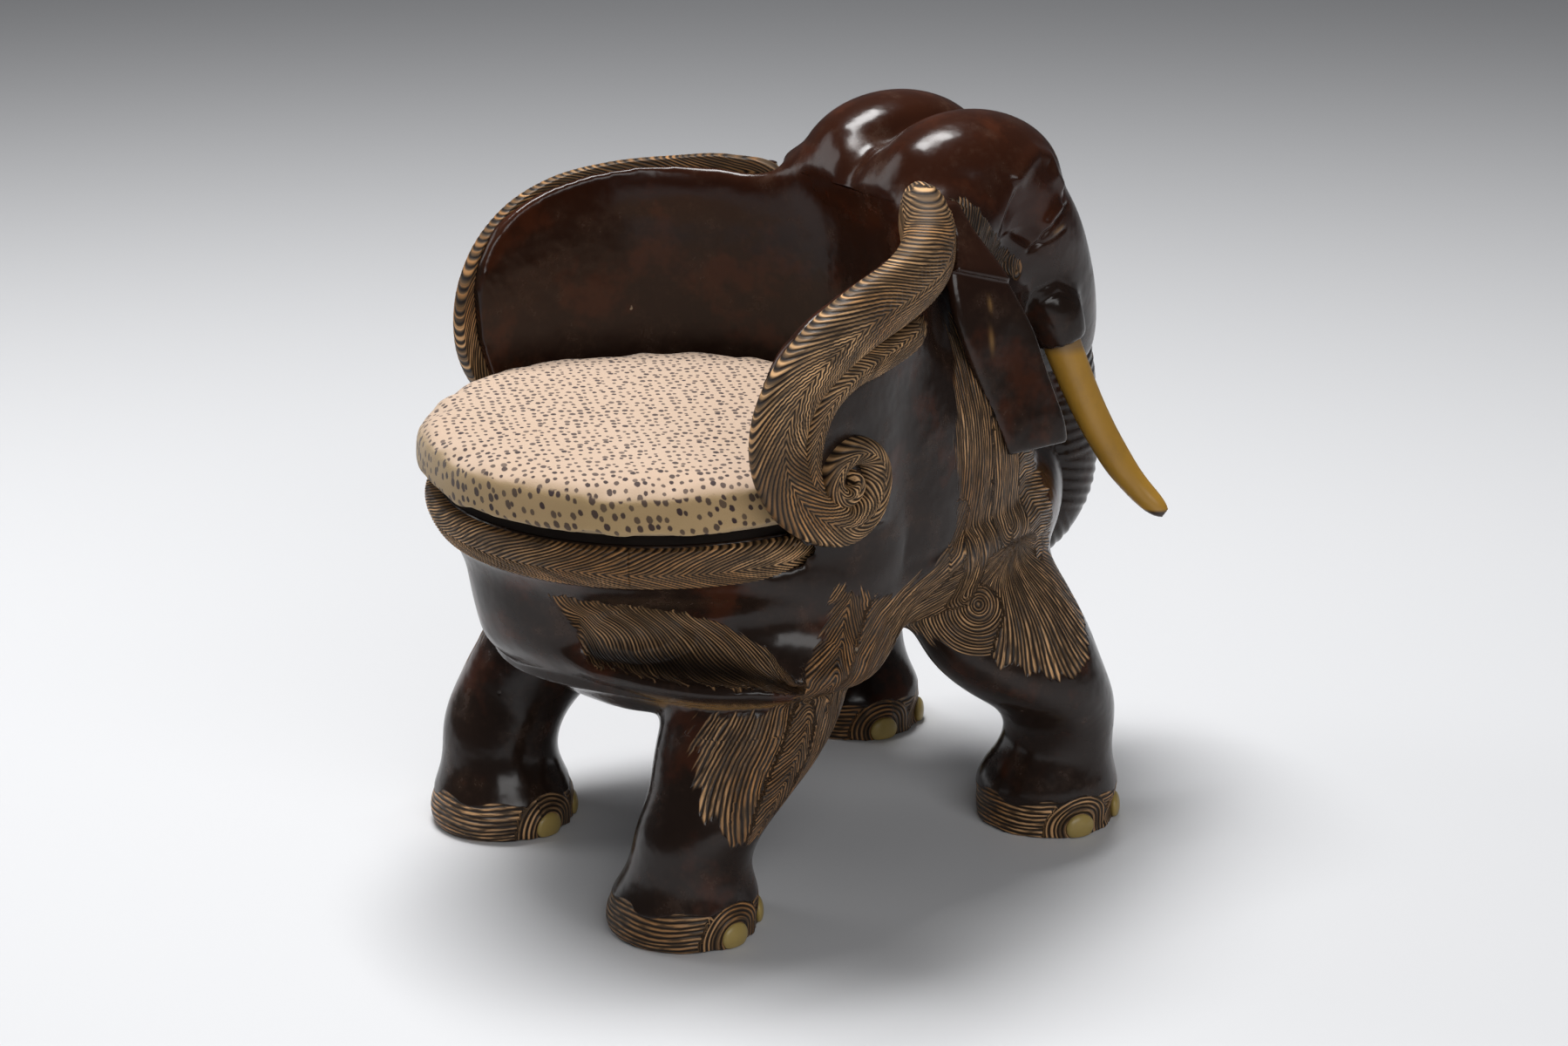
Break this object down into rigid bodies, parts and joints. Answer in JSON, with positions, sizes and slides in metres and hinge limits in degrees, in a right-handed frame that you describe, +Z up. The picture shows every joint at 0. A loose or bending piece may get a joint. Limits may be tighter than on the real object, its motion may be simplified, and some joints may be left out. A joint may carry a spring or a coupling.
{
  "type": "carved elephant barrel chair",
  "caption": "Barrel-backed armchair carved as a standing elephant, with a loose round cushion, scrolled arms, a head with tusks behind the backrest and thick legs.",
  "frame": {"origin": "on the floor, in the middle of the bounding box seen from above", "axes": "+Z up, +Y towards the elephant's head behind the backrest, -Y the way the sitter faces, +X the elephant's right side"},
  "size_m": [0.5368, 0.749, 0.687],
  "materials": {
    "dark_wood": "dark brown wood under a worn glossy lacquer",
    "carved_band": "incised hair lines, tan ridges over dark grooves, satin",
    "tusk_ochre": "ochre paint, satin, a few nicks",
    "nail_ochre": "ochre paint, worn at the edges",
    "hide_print": "short pile, cream with small dark brown spots",
    "cushion_foam": "open-cell foam",
    "plywood": "bare plywood",
    "dowel_wood": "bare hardwood"
  },
  "bodies": {
    "elephant": {"back_dowels": "dowel_wood", "back_left": "dark_wood", "back_right": "dark_wood", "body_dowels": "dowel_wood", "chest_block": "dark_wood", "ear_dowels": "dowel_wood", "ear_left": "dark_wood", "ear_right": "dark_wood", "head": "dark_wood", "head_dowels": "dowel_wood", "leg_dowels": "dowel_wood", "leg_front_left": "dark_wood", "leg_front_right": "dark_wood", "leg_hind_left": "dark_wood", "leg_hind_right": "dark_wood", "neck_block": "dark_wood", "neck_dowels": "dowel_wood", "rim_front": "carved_band", "rim_left": "carved_band", "rim_right": "carved_band", "scroll_left": "carved_band", "scroll_right": "carved_band", "seat_block": "dark_wood", "seat_board": "plywood", "toenails_front_left": "nail_ochre", "toenails_front_right": "nail_ochre", "toenails_hind_left": "nail_ochre", "toenails_hind_right": "nail_ochre", "trunk": "dark_wood", "trunk_dowel": "dowel_wood", "tusk_left": "tusk_ochre", "tusk_right": "tusk_ochre"},
    "cushion": {"cushion_board": "plywood", "cushion_foam": "cushion_foam", "cushion_cover": "hide_print"}
  },
  "joints": [
    {"name": "cushion_lift", "type": "slide", "parent": "elephant", "child": "cushion", "axis": [0, 0, 1], "range_m": [0, 0.15]}
  ]
}
